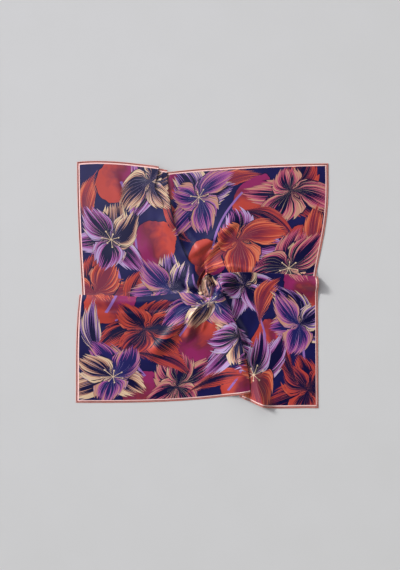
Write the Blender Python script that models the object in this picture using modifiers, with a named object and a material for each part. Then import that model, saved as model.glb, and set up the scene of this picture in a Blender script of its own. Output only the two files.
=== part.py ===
"""Silk square scarf, laid flat: one panel twisted at its centre, four pleats, four rolled hems.

The panel is a wall swept over rings and spokes. A ring is the outline of the laid scarf, shrunk
towards the twist. A spoke keeps its place on every ring, on a quarter between two pleats or on the
section of a pleat. Each pleat folds the cloth back and forward over itself, equally wide on every
ring until the twist swallows it. The rings are then turned about the centre, more the nearer they
are, and soft ridges lift all layers together.
"""

from collections import namedtuple

import bpy
import numpy as np

# Driving sizes, in metres: the cut square, its wall and rolled edge, and the centre of the twist.
SIDE = 0.900
WALL = 0.0012
HEM_ROLL = 0.0030
SEAM_GAP = 0.0003
CENTRE = np.array([0.015, -0.0075])

# The cloth that the pleats take from a side, how far a raised layer runs on past its pleat, the
# length over which it then falls, and the largest share of the room there that the fall may take.
PLEAT_TAKES = 0.084
LAYER_MARGIN = 0.002
FALL = 0.024
FALL_SHARE = 0.8

# Rings are shares of the cut square: the innermost, the growth of the pleats outside their first
# ring, the rise of their layers there, and the ring outside which the layers slip apart.
FIRST_RING = 0.03
RING_TAPER = 0.13
RISE = 0.04
SLIP_RING = 0.6

# The least that a pleat's section turns, and the least length between its two turns.
LEAST_TURN = np.radians(60)
LEAST_MIDDLE = 0.0008

# Steps round each stretch of a ring, and how the rings crowd towards the centre.
RINGS = 27
RING_CROWDING = 1.4
RAISED_STEPS = 5
PLAIN_STEPS = 5
STRIP_STEPS = 4
TURN_STEPS = 4
FALL_STEPS = np.array([0.0, 0.5, 1.0])
FALL_LIMITS = np.array([0.82, 0.88, 0.94])
ANGLE_SAMPLES = 60
HEM_BEVEL = 1

SILK_COLOUR = (0.10, 0.07, 0.20)
SILK_ROUGHNESS = 0.45
HEM_COLOUR = (0.45, 0.10, 0.08)
HEM_ROUGHNESS = 0.5

# The laid hem, clockwise: each row is a curve with two bends, from a pleat or a corner to the next.
Hem = namedtuple("Hem", "panel start bend_1 bend_2 end")
HEMS = [
    Hem("north_west", (-0.404, -0.0747), (-0.408, 0.080), (-0.416, 0.250), (-0.4233, 0.4165)),
    Hem("north_west", (-0.4233, 0.4165), (-0.330, 0.424), (-0.235, 0.417), (-0.1473, 0.4008)),
    Hem("strip", (-0.1543, 0.3935), (-0.143, 0.391), (-0.131, 0.388), (-0.1198, 0.3864)),
    Hem("north_east", (-0.1258, 0.3790), (0.030, 0.389), (0.230, 0.401), (0.4243, 0.408)),
    Hem("north_east", (0.4243, 0.408), (0.420, 0.265), (0.398, 0.120), (0.372, -0.005)),
    Hem("south_east", (0.389, 0.0257), (0.389, -0.120), (0.391, -0.270), (0.392, -0.4162)),
    Hem("south_east", (0.392, -0.4162), (0.270, -0.417), (0.185, -0.425), (0.128, -0.377)),
    Hem("south_west", (0.1617, -0.3645), (-0.030, -0.393), (-0.230, -0.403), (-0.4257, -0.3988)),
    Hem("south_west", (-0.4257, -0.3988), (-0.426, -0.260), (-0.428, -0.110), (-0.413, -0.0368)),
]

# The pleats, clockwise: the panels that one joins, which of them lies on top, its axes along the
# side, clockwise, and out across it, the radius of its turns, the ring where it starts, its shift
# along the side at the twist, and its bow along the side, which peaks two thirds of the way out.
Pleat = namedtuple("Pleat", "before after upper forward outward radius first_ring shift bow")
PLEATS = [
    Pleat("north_west", "strip", "before", (1, 0), (0, 1), 0.0017, 0.30, -0.0035, -0.013),
    Pleat("strip", "north_east", "before", (1, 0), (0, 1), 0.0022, 0.03, 0.0035, -0.013),
    Pleat("north_east", "south_east", "after", (0, -1), (1, 0), 0.0022, 0.03, 0.0, 0.0),
    Pleat("south_east", "south_west", "after", (-1, 0), (0, -1), 0.0022, 0.03, 0.0, -0.016),
    Pleat("south_west", "north_west", "before", (0, 1), (-1, 0), 0.0022, 0.03, 0.0, 0.0),
]

BOW_PEAK = (2 / 3) ** 2 * (1 - 2 / 3)

# Soft ridges: a crest from one point to another, its height at each, and its half width.
Ridge = namedtuple("Ridge", "name start end height_1 height_2 half_width")
RIDGES = [
    Ridge("north_east", (-0.050, 0.100), (0.127, 0.227), 0.012, 0.003, 0.032),
    Ridge("right_hem", (0.300, 0.020), (0.400, 0.012), 0.004, 0.010, 0.040),
    Ridge("right_knot", (0.075, 0.065), (0.160, 0.052), 0.012, 0.005, 0.028),
    Ridge("bottom_hem", (0.190, -0.340), (0.200, -0.430), 0.004, 0.011, 0.034),
    Ridge("bottom_knot", (0.110, -0.150), (0.146, -0.230), 0.008, 0.010, 0.028),
    Ridge("bottom_run", (0.146, -0.230), (0.150, -0.370), 0.010, 0.004, 0.028),
    Ridge("south_east", (0.030, -0.030), (0.110, -0.150), 0.012, 0.008, 0.032),
    Ridge("south_west", (-0.010, -0.050), (-0.160, -0.200), 0.012, 0.004, 0.045),
    Ridge("west", (-0.020, -0.030), (-0.150, -0.050), 0.012, 0.004, 0.028),
    Ridge("top_run", (-0.118, 0.380), (-0.110, 0.210), 0.004, 0.008, 0.028),
    Ridge("top_turn", (-0.110, 0.210), (-0.040, 0.060), 0.008, 0.012, 0.030),
]

# The knot is a dome over the twist. Where domes and ridges meet, a higher power blends them less.
KNOT_HEIGHT = 0.018
KNOT_RADIUS = 0.045
BLEND = 3

# The swirl turns each ring about the centre, and its reach is a share of the cut square. The twist
# turns what lies near the centre once more, and its reach is a radius.
SWIRL_ANGLE = np.radians(44)
SWIRL_REACH = 0.36
TWIST_ANGLE = np.radians(30)
TWIST_REACH = 0.050


def smooth(x):
    """0 below 0, 1 above 1, and an even S between them."""
    x = np.clip(x, 0, 1)
    return x * x * (3 - 2 * x)


def grown(rings, first):
    """How far a pleat has grown on each ring: 0 up to its first, nearly 1 at the hem."""
    return 1 - np.exp(-((np.maximum(rings - first, 0) / RING_TAPER) ** 2))


def ring_size(rings):
    """Size of a ring against the laid outline: the cut square, less what the pleats take there."""
    inside = 0.5 * SIDE * rings - 0.5 * PLEAT_TAKES * grown(rings, FIRST_RING)
    outside = 0.5 * SIDE - 0.5 * PLEAT_TAKES * grown(np.ones(1), FIRST_RING)
    return inside / outside


def curve(row, shares):
    """Points of a hem row's cubic curve at each share of its way."""
    share = shares[..., None]
    rest = 1 - share
    ends = rest**3 * np.array(row.start) + share**3 * np.array(row.end)
    bends = rest * np.array(row.bend_1) + share * np.array(row.bend_2)
    return ends + 3 * rest * share * bends


def pleat_section(width, rings, pleat):
    """Section of a pleat on each ring: q along the side, z above its lower layer, and its hold.

    The upper layer turns down through an angle, runs straight for the middle length, and turns
    the same angle back. The hold is how far the layers lie on each other.
    The pleat rises from its first ring on, and is flat inside it.
    """
    half_turns = 2 * np.pi * pleat.radius
    takes = (2 * width + half_turns) * grown(rings, pleat.first_ring)
    angles = np.linspace(LEAST_TURN, np.pi, ANGLE_SAMPLES)
    angle = np.interp(takes, 2 * pleat.radius * (angles - np.sin(angles)), angles)[:, None]
    middle = np.maximum(takes - half_turns, 2 * LEAST_MIDDLE)[:, None] / 2
    share = np.linspace(0, 1, TURN_STEPS + 1)
    q_down = pleat.radius * np.sin(angle * share)
    z_down = pleat.radius * (np.cos(angle * share) - 1)
    q_back = q_down[:, -1:] + middle * np.cos(angle) + pleat.radius * np.sin(angle)
    z_back = z_down[:, -1:] - middle * np.sin(angle) + pleat.radius * np.cos(angle)
    q = np.hstack([q_down, q_back - pleat.radius * np.sin(angle * (1 - share))])
    z = np.hstack([z_down, z_back - pleat.radius * np.cos(angle * (1 - share))])
    q = q - q[:, -1:] / 2
    z = (z - z[:, -1:]) * smooth((rings - pleat.first_ring) / RISE)[:, None]
    hold = middle + 2 * pleat.radius + LAYER_MARGIN
    return (q, z, hold) if pleat.upper == "before" else (-q[:, ::-1], z[:, ::-1], hold)


def pleat_points(pleat, rings):
    """Plan points of a pleat on each ring, their heights, and its hold."""
    end = np.array([row for row in HEMS if row.panel == pleat.before][-1].end)
    start = np.array([row for row in HEMS if row.panel == pleat.after][0].start)
    forward = np.array(pleat.forward)
    outward = np.array(pleat.outward)
    q, z, hold = pleat_section((end - start) @ forward, rings, pleat)
    size = ring_size(rings)[:, None, None]
    bow_share = (rings**2 * (1 - rings))[:, None, None] / BOW_PEAK
    moved = (1 - size) * pleat.shift + bow_share * pleat.bow
    middle = CENTRE + size * ((end + start) / 2 - CENTRE) + moved * forward
    slipped = smooth((rings[:, None] - SLIP_RING) / (1 - SLIP_RING)) * ((end - start) @ outward)
    across = np.repeat([0.5, -0.5], q.shape[1] // 2) * slipped
    return middle + q[..., None] * forward + across[..., None] * outward, z, hold


def row_points(row, shares, start, end, rings):
    """Points of a hem row on each ring, between its two ends there, bowed like the hem itself."""
    chord = np.array(row.start) + shares[..., None] * np.subtract(row.end, row.start)
    bow = ring_size(rings)[:, None, None] * (curve(row, shares) - chord)
    return start + shares[..., None] * (end - start) + bow


def row_shares(length, hold, raised):
    """Shares from a pleat to a corner: even ones, or first the three where a raised layer falls."""
    if not raised:
        return np.linspace(0, 1, PLAIN_STEPS + 1)[1:-1] * np.ones_like(length)
    near = np.minimum((hold + FALL * FALL_STEPS) / length, FALL_LIMITS)
    far = near[:, -1:] + (1 - near[:, -1:]) * np.linspace(0, 1, RAISED_STEPS - 2)[1:-1]
    return np.hstack([near, far])


def panel_points(name, start_fold, end_fold, rings):
    """Plan points and heights of a panel between two pleats, through its corner if it has one."""
    rows = [row for row in HEMS if row.panel == name]
    start, start_z, start_hold = start_fold
    end, end_z, end_hold = end_fold
    start_raised = start_z[:, -1:] > 0
    end_raised = end_z[:, :1] > 0
    if len(rows) == 1:
        shares = np.linspace(0, 1, STRIP_STEPS + 1)[1:-1] * np.ones((len(rings), 1))
        points = row_points(rows[0], shares, start[:, -1:], end[:, :1], rings)
        return points, end_z[:, :1] * np.ones_like(shares)
    corner = CENTRE + ring_size(rings)[:, None, None] * (np.array(rows[0].end) - CENTRE)
    length = np.linalg.norm(corner - start[:, -1:], axis=2)
    shares = row_shares(length, start_hold, start_raised.any())
    first = row_points(rows[0], shares, start[:, -1:], corner, rings)
    length = np.linalg.norm(corner - end[:, :1], axis=2)
    shares = 1 - row_shares(length, end_hold, end_raised.any())[:, ::-1]
    second = row_points(rows[1], shares, corner, end[:, :1], rings)
    points = np.concatenate([first, corner, second], axis=1)
    path = np.concatenate([start[:, -1:], points, end[:, :1]], axis=1)
    run = np.cumsum(np.linalg.norm(np.diff(path, axis=1), axis=2), axis=1)
    flat = 1 - start_raised * fall(run[:, :-1], start_hold, run[:, -1:])
    flat = flat * (1 - end_raised * fall(run[:, -1:] - run[:, :-1], end_hold, run[:, -1:]))
    return points, (1 - flat) * np.maximum(start_z[:, -1:], end_z[:, :1])


def fall(distance, hold, room):
    """How raised a layer is at this distance from its pleat: 1 over the hold, then down to 0."""
    reach = np.minimum(FALL, FALL_SHARE * (room - hold))
    return 1 - smooth((distance - hold) / reach)


def laid_cloth(rings):
    """Middle surface of the pleated cloth before it is turned: rings by spokes, clockwise."""
    folds = [pleat_points(pleat, rings) for pleat in PLEATS]
    points, heights, hold = folds[0]
    folds[0] = (points, heights + folds[1][1][:, :1], hold)
    parts = []
    for index, pleat in enumerate(PLEATS):
        points, heights = panel_points(pleat.before, folds[index - 1], folds[index], rings)
        parts.append(np.dstack([points, heights]))
        parts.append(np.dstack([folds[index][0], folds[index][1]]))
    return np.concatenate(parts, axis=1)


def turned(points, rings):
    """Points of the rings turned about the centre: most at the twist, not at all at the hem."""
    offset = points[..., :2] - CENTRE
    radius = np.linalg.norm(offset, axis=-1)
    rest = np.exp(-1 / SWIRL_REACH)
    swirl = SWIRL_ANGLE * (np.exp(-rings / SWIRL_REACH) - rest) / (1 - rest)
    angle = swirl[:, None] + TWIST_ANGLE * np.exp(-((radius / TWIST_REACH) ** 2))
    x = offset[..., 0] * np.cos(angle) - offset[..., 1] * np.sin(angle)
    y = offset[..., 0] * np.sin(angle) + offset[..., 1] * np.cos(angle)
    return np.stack([CENTRE[0] + x, CENTRE[1] + y, points[..., 2]], axis=-1)


def bump(distance, reach):
    """1 at no distance, 0 from the reach on, and level at both."""
    return np.maximum(1 - (distance / reach) ** 2, 0) ** 3


def ridge_height(plan):
    """Height of the soft ridges and the knot at plan points: the larger of what meets there."""
    distance = np.linalg.norm(plan - CENTRE, axis=-1)
    total = (KNOT_HEIGHT * bump(distance, 2 * KNOT_RADIUS)) ** BLEND
    for ridge in RIDGES:
        start = np.array(ridge.start)
        way = np.subtract(ridge.end, start)
        share = np.clip((plan - start) @ way / (way @ way), 0, 1)
        distance = np.linalg.norm(plan - start - share[..., None] * way, axis=-1)
        height = ridge.height_1 + (ridge.height_2 - ridge.height_1) * share
        total = total + (height * bump(distance, 2 * ridge.half_width)) ** BLEND
    return total ** (1 / BLEND)


def cloth_surface(rings):
    """Middle surface of the scarf, resting on z = 0 with its middle over the origin."""
    surface = turned(laid_cloth(rings), rings)
    surface[..., 2] += WALL / 2 + ridge_height(surface[..., :2])
    surface[..., :2] -= (surface[-1, :, :2].max(axis=0) + surface[-1, :, :2].min(axis=0)) / 2
    return surface


def new_material(name, colour, roughness):
    """A plain Principled material in one colour."""
    material = bpy.data.materials.new(name)
    material.use_nodes = True
    shader = material.node_tree.nodes["Principled BSDF"]
    shader.inputs["Base Color"].default_value = (*colour, 1.0)
    shader.inputs["Roughness"].default_value = roughness
    shader.inputs["Metallic"].default_value = 0.0
    return material


def add_panel(collection, surface):
    """The silk panel: its middle surface with a fan at the twist, thickened both ways."""
    rings, spokes = surface.shape[:2]
    apex = surface[0].mean(axis=0)
    vertices = np.vstack([surface.reshape(-1, 3), apex])
    ring, spoke = np.meshgrid(np.arange(rings - 1), np.arange(spokes), indexing="ij")
    here = (ring * spokes + spoke).ravel()
    beside = (ring * spokes + (spoke + 1) % spokes).ravel()
    quads = np.column_stack([here, beside, beside + spokes, here + spokes])
    first = np.arange(spokes)
    fan = np.column_stack([np.full(spokes, rings * spokes), (first + 1) % spokes, first])
    mesh = bpy.data.meshes.new("silk_panel")
    mesh.from_pydata(vertices.tolist(), [], quads.tolist() + fan.tolist())
    mesh.shade_smooth()
    panel = bpy.data.objects.new("silk_panel", mesh)
    collection.objects.link(panel)
    mesh.materials.append(new_material("printed silk twill", SILK_COLOUR, SILK_ROUGHNESS))
    wall = panel.modifiers.new("Wall", "SOLIDIFY")
    wall.thickness = WALL
    wall.offset = 0.0


def side_spokes(spokes):
    """For each side, clockwise from the top: the spokes from corner to corner, and its outward axis."""
    ends = [row.end for row, following in zip(HEMS, HEMS[1:]) if row.panel == following.panel]
    corners = [int(np.argmin(np.linalg.norm(spokes[:, :2] - end, axis=1))) for end in ends]
    outward = [(0, 1), (1, 0), (0, -1), (-1, 0)]
    for first, last, axis in zip(corners, corners[1:] + corners[:1], outward):
        last += len(spokes) * (last < first)
        yield np.arange(first, last + 1) % len(spokes), np.array(axis)


def hem_path(edge, outward):
    """Centre line of a rolled hem along one side's edge, a seam gap outside it."""
    runs = np.diff(edge, axis=0)
    slope = np.sqrt(1 - (runs[:, :2] @ outward) ** 2 / (runs**2).sum(axis=1))
    slope = np.minimum(np.append(slope, slope[-1]), np.append(slope[0], slope))
    offset = (HEM_ROLL / 2 + SEAM_GAP) / slope
    path = edge.copy()
    path[:, :2] += offset[:, None] * outward
    path[:, 2] += (HEM_ROLL - WALL) / 2
    return path


def add_hem(collection, name, path, material):
    """One rolled hem: a round tube along its path."""
    curve_data = bpy.data.curves.new(name, "CURVE")
    curve_data.dimensions = "3D"
    curve_data.bevel_depth = HEM_ROLL / 2
    curve_data.bevel_resolution = HEM_BEVEL
    curve_data.use_fill_caps = True
    spline = curve_data.splines.new("POLY")
    spline.points.add(len(path) - 1)
    spline.points.foreach_set("co", np.column_stack([path, np.ones(len(path))]).ravel())
    curve_data.materials.append(material)
    collection.objects.link(bpy.data.objects.new(name, curve_data))


def main():
    """Clears the scene and makes the panel and its four hems.

    The top and bottom hems run on past the corners, over the ends of the other two.
    """
    for old in list(bpy.data.objects):
        bpy.data.objects.remove(old, do_unlink=True)
    collection = bpy.data.collections.new("silk_square_scarf")
    bpy.context.scene.collection.children.link(collection)
    rings = FIRST_RING + (1 - FIRST_RING) * np.linspace(0, 1, RINGS) ** RING_CROWDING
    surface = cloth_surface(rings)
    add_panel(collection, surface)
    roll = new_material("rolled silk hem", HEM_COLOUR, HEM_ROUGHNESS)
    edge = surface[-1]
    for name, (spokes, outward) in zip(("top", "right", "bottom", "left"), side_spokes(edge)):
        path = hem_path(edge[spokes], outward)
        if outward[1]:
            clockwise = outward[1] * (HEM_ROLL + SEAM_GAP) * np.array([1, 0, 0])
            path = np.vstack([path[0] - clockwise, path, path[-1] + clockwise])
        add_hem(collection, "hem_" + name, path, roll)


main()
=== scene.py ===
"""Looks of a silk square scarf, laid flat: a thin printed silk panel, twisted at its centre and
pleated to its four sides, with hand-rolled hems, on a plain pale floor."""

from collections import namedtuple

import bpy
import numpy as np
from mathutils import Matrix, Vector


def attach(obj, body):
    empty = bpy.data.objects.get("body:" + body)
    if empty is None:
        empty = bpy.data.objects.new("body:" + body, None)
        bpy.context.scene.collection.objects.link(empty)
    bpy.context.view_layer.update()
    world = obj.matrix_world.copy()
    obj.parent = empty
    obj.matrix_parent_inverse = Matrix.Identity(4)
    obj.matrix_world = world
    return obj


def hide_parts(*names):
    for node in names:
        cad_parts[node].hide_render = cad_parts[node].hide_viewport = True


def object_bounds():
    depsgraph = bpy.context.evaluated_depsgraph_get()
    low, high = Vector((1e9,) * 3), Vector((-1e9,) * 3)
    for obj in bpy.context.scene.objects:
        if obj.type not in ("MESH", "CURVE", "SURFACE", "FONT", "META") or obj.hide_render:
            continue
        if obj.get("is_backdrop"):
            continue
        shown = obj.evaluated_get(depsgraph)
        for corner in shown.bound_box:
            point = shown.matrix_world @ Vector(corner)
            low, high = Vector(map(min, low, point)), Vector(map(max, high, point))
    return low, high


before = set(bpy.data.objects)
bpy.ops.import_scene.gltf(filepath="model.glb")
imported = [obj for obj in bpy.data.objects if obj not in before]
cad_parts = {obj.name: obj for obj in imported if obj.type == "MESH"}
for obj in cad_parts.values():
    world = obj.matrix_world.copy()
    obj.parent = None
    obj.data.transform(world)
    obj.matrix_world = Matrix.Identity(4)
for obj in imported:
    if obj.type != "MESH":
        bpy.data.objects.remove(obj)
cad_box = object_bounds()

# Driving sizes of the laid cloth, in metres: the cut square's side, the thickness of its rolled hem
# and of the silk, the middle of the twist on the table, and the place on the cut square that the
# fingers pinched. Rings run round the twist, from 0 at its middle to 1 at the hem. The silk's grid
# starts at the first ring, and so do the pleats.
SIDE = 0.900
HEM_ROLL = 0.0030
SILK = 0.0004
CENTRE = np.array([0.015, -0.0075])
PINCH = np.array([0.0145, -0.0160])
FIRST_RING = 0.03

# How the pleats are laid: the length that they take from a side, how far a pleat's layers overlap
# past their turns, and the least turn and middle that it starts with.
PLEAT_TAKES = 0.084
LAYER_MARGIN = 0.002
LEAST_TURN = np.radians(60)
LEAST_MIDDLE = 0.0008

# The rings over which a pleat grows and over which it lifts, the ring from which its two ends slip
# apart to meet the hems, and how much it is pressed down at the hem and over which rings.
RING_TAPER = 0.13
RISE = 0.04
SLIP_RING = 0.6
HEM_PRESS = 0.45
PRESS_REACH = 0.12

# Beside a pleat its upper layer comes down to the table: over this length, or over this share of
# the room up to the corner if that is less.
FALL = 0.060
FALL_SHARE = 0.8

# The rolled hems: the gap between the laid edge and the roll, how far outside the edge the roll's
# middle lies, its steps and sides, how much thinner it gets in slow waves, with their lengths and
# shifts, at each stitch and at its ends, and its height by its width.
HEM_GAP = 0.0003
HEM_OUTSIDE = HEM_ROLL / 2 + HEM_GAP
HEM_STEP = 0.0013
HEM_SIDES = 10
HEM_UNEVEN = 0.16
HEM_WAVES = (0.031, 0.013)
HEM_SHIFTS = (9, 1.7)
HEM_PUCKER = 0.14
HEM_END = 0.6
HEM_FLATNESS = 0.7

# The small stitches that catch the hem down: how far apart they are, their thread, how far they
# lean along the hem, their reach by the roll's, and the angles round the roll that they span. No
# stitch runs along STITCH_SIDE, from which its tube's sides are counted.
STITCH_SPACING = 0.0052
STITCH_THREAD = 0.0004
STITCH_LEAN = 0.0014
STITCH_LIFT = 0.98
STITCH_START = np.radians(10)
STITCH_END = np.radians(125)
STITCH_STEPS = 5
STITCH_SIDES = 4
STITCH_SIDE = np.array([0.3, 0.3, 0.9])

# The silk's grid: its rings, which crowd towards the twist, and the steps round each stretch of a
# ring. Where a raised layer is held and where it falls, the steps are closer, up to limits by the
# way to the corner. A pleat's turn is read off a table of angles.
RINGS = 112
RING_CROWDING = 1.35
FAR_STEPS = 26
PLAIN_STEPS = 34
STRIP_STEPS = 10
TURN_STEPS = 8
HOLD_STEPS = np.array([0.33, 0.67])
FALL_STEPS = np.linspace(0, 1, 9)
FALL_LIMITS = np.linspace(0.82, 0.94, 9)
ANGLE_SAMPLES = 60

# The laid hem, clockwise: each row is a curve with two bends, from a pleat or corner to the next.
Hem = namedtuple("Hem", "panel start bend_1 bend_2 end")
HEMS = [
    Hem("north_west", (-0.404, -0.0747), (-0.402, 0.01), (-0.4218, 0.157), (-0.4216, 0.4138)),
    Hem("north_west", (-0.4216, 0.4138), (-0.3404, 0.4227), (-0.2315, 0.4116), (-0.1473, 0.3972)),
    Hem("strip", (-0.1543, 0.3925), (-0.143, 0.39), (-0.131, 0.387), (-0.1198, 0.385)),
    Hem("north_east", (-0.1258, 0.3765), (-0.0253, 0.3936), (0.2572, 0.4065), (0.4257, 0.4088)),
    Hem("north_east", (0.4257, 0.4088), (0.4298, 0.2232), (0.417, 0.207), (0.3765, -0.005)),
    Hem("south_east", (0.3895, 0.0257), (0.3908, -0.1229), (0.3904, -0.2764), (0.392, -0.4167)),
    Hem("south_east", (0.392, -0.4167), (0.214, -0.4145), (0.2428, -0.4322), (0.128, -0.377)),
    Hem("south_west", (0.1617, -0.3645), (-0.0311, -0.399), (-0.243, -0.3987), (-0.4257, -0.398)),
    Hem("south_west", (-0.4257, -0.398), (-0.4239, -0.2587), (-0.4295, -0.1693), (-0.413, -0.0368)),
]

# The four sides, clockwise, with the axis out across each.
OUTWARD = {"top": (0, 1), "right": (1, 0), "bottom": (0, -1), "left": (-1, 0)}

# The pleats, clockwise: the panels that one joins, which of them lies on top, the side that it runs
# to, the radius of its turns, the ring where it starts, its shift along the side at the twist, its
# bow along the side, which peaks two thirds of the way out, and its kink, a short sideways bend,
# with the ring where that lies.
Pleat = namedtuple("Pleat", "before after upper side radius first_ring shift bow kink at")
PLEATS = [
    Pleat("north_west", "strip", "before", "top", 0.0015, 0.7, -0.0035, -0.013, -0.02, 0.86),
    Pleat("strip", "north_east", "before", "top", 0.0017, 0.03, 0.0035, -0.013, 0.04, 0.21),
    Pleat("north_east", "south_east", "after", "right", 0.0017, 0.03, 0, 0, 0.003, 0.55),
    Pleat("south_east", "south_west", "after", "bottom", 0.0017, 0.03, 0, -0.01, 0, 0.7),
    Pleat("south_west", "north_west", "before", "left", 0.0017, 0.03, 0, 0, -0.003, 0.6),
]
KINK_WIDTH = 0.075
BOW_PEAK = (2 / 3) ** 2 * (1 - 2 / 3)

# Soft ridges: a crest from one point to another, its height at each, and its half width.
Ridge = namedtuple("Ridge", "start end height_1 height_2 half_width")
RIDGES = [
    Ridge((-0.05, 0.1), (0.127, 0.227), 0.009, 0.003, 0.034),  # north east
    Ridge((0.075, 0.065), (0.16, 0.052), 0.012, 0.005, 0.028),  # right knot
    Ridge((0.18, -0.34), (0.2, -0.43), 0.004, 0.009, 0.03),  # bottom hem
    Ridge((0.11, -0.15), (0.146, -0.23), 0.008, 0.01, 0.028),  # bottom knot
    Ridge((0.146, -0.23), (0.15, -0.37), 0.01, 0.004, 0.028),  # bottom run
    Ridge((0.03, -0.03), (0.11, -0.15), 0.012, 0.008, 0.032),  # south east
    Ridge((-0.01, -0.05), (-0.16, -0.2), 0.012, 0.004, 0.045),  # south west
    Ridge((-0.02, -0.03), (-0.15, -0.05), 0.012, 0.004, 0.028),  # west
    Ridge((-0.118, 0.38), (-0.11, 0.21), 0.002, 0.008, 0.03),  # top run
    Ridge((-0.11, 0.21), (-0.04, 0.06), 0.008, 0.012, 0.03),  # top turn
]

# Creases over the ridges: each runs from one point to another and bows to its left by so much at
# the middle. Its height, less than nothing for a valley, is the middle's, and it slopes off over
# one width on its left and another on its right. A power of 2 makes it soft and 1 sharp. Over a
# share of its way, CREASE_ENDS, it rises at one end and dies away at the other.
Crease = namedtuple("Crease", "start end bow height left right power")
CREASES = [
    Crease((-0.118, 0.43), (-0.09, 0.19), 0.012, 0.0025, 0.012, 0.04, 1),  # top crest
    Crease((-0.104, 0.25), (0.004, 0.066), 0.018, 0.003, 0.04, 0.012, 1),  # top turn
    Crease((-0.152, 0.398), (-0.136, 0.34), 0, 0.0015, 0.012, 0.016, 2),  # top hem
    Crease((-0.066, 0.084), (0.14, 0.232), -0.006, 0.007, 0.034, 0.02, 2),  # north east crest
    Crease((0.01, 0.082), (0.095, 0.176), 0.006, 0.0054, 0.013, 0.02, 2),  # north east foot
    Crease((0.085, 0.066), (0.132, 0.048), 0.004, 0.0068, 0.01, 0.012, 1),  # right knuckle
    Crease((0.11, 0.056), (0.425, 0.027), 0.002, 0.0095, 0.008, 0.05, 1),  # right run
    Crease((-0.42, -0.052), (-0.34, -0.054), 0, 0.004, 0.018, 0.02, 2),  # left hem
    Crease((-0.4, -0.056), (-0.11, -0.054), 0, 0.004, 0.02, 0.034, 2),  # left run
    Crease((-0.34, -0.083), (-0.085, -0.081), 0, -0.004, 0.006, 0.004, 1),  # left foot
    Crease((-0.4, -0.098), (-0.08, -0.096), 0, 0.0022, 0.016, 0.05, 2),  # left lower
    Crease((0.044, -0.03), (0.142, -0.205), -0.01, 0.0121, 0.02, 0.026, 1),  # bottom crest
    Crease((0.116, -0.15), (0.14, -0.2), -0.003, 0.004, 0.01, 0.009, 1),  # bottom pinch
    Crease((0.127, -0.156), (0.16, -0.214), 0, -0.017, 0.005, 0.005, 1),  # bottom notch
    Crease((0.136, -0.18), (0.17, -0.52), -0.008, 0.011, 0.012, 0.08, 1),  # bottom run
    Crease((0.17, -0.262), (0.22, -0.47), 0, 0.018, 0.044, 0.04, 1),  # bottom flare
    Crease((0.098, -0.15), (0.122, -0.39), -0.008, 0.003, 0.024, 0.05, 2),  # bottom slope
    Crease((-0.03, -0.075), (-0.06, -0.2), 0.008, 0.0081, 0.026, 0.024, 2),  # south bulge
    Crease((-0.04, -0.07), (-0.2, -0.26), 0.012, 0.0095, 0.04, 0.036, 2),  # south west crest
    Crease((0.002, -0.06), (-0.06, -0.15), -0.006, 0.0045, 0.008, 0.008, 1),  # south rib 1
    Crease((0.012, -0.062), (-0.006, -0.17), 0.008, 0.0045, 0.008, 0.008, 1),  # south rib 2
    Crease((0.024, -0.056), (0.036, -0.16), 0.008, 0.0045, 0.007, 0.008, 1),  # south rib 3
    Crease((0.036, -0.05), (0.07, -0.145), 0.01, 0.0045, 0.007, 0.008, 1),  # south rib 4
    Crease((0.006, 0.084), (-0.018, -0.008), 0.01, -0.024, 0.007, 0.006, 1),  # north gap
    Crease((0.01, 0.046), (0.032, -0.038), 0.018, -0.024, 0.008, 0.007, 1),  # east gap
    Crease((0, -0.03), (-0.07, 0.002), 0.006, -0.012, 0.008, 0.007, 1),  # west gap
    Crease((0.052, -0.06), (0.104, -0.16), 0.004, -0.006, 0.008, 0.008, 1),  # south east valley
    Crease((0.14, -0.06), (0.33, -0.15), 0.015, 0.0015, 0.05, 0.04, 2),  # south east soft
    Crease((-0.296, 0.4), (-0.28, 0.23), 0.006, 0.0018, 0.022, 0.034, 2),  # north west band
    Crease((-0.33, 0.08), (-0.15, 0.12), 0.012, 0.0018, 0.04, 0.05, 2),  # north west soft
    Crease((0.15, 0.28), (0.33, 0.33), -0.014, 0.0018, 0.045, 0.035, 2),  # north east soft
    Crease((-0.405, 0.18), (-0.36, 0.02), 0.006, 0.0014, 0.02, 0.03, 2),  # west hem soft
    Crease((-0.33, -0.18), (-0.25, -0.36), 0.016, 0.002, 0.045, 0.04, 2),  # south west soft
    Crease((0.26, -0.26), (0.38, -0.38), 0.01, 0.0018, 0.04, 0.045, 2),  # south east corner
]
CREASE_ENDS = 0.28

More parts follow.
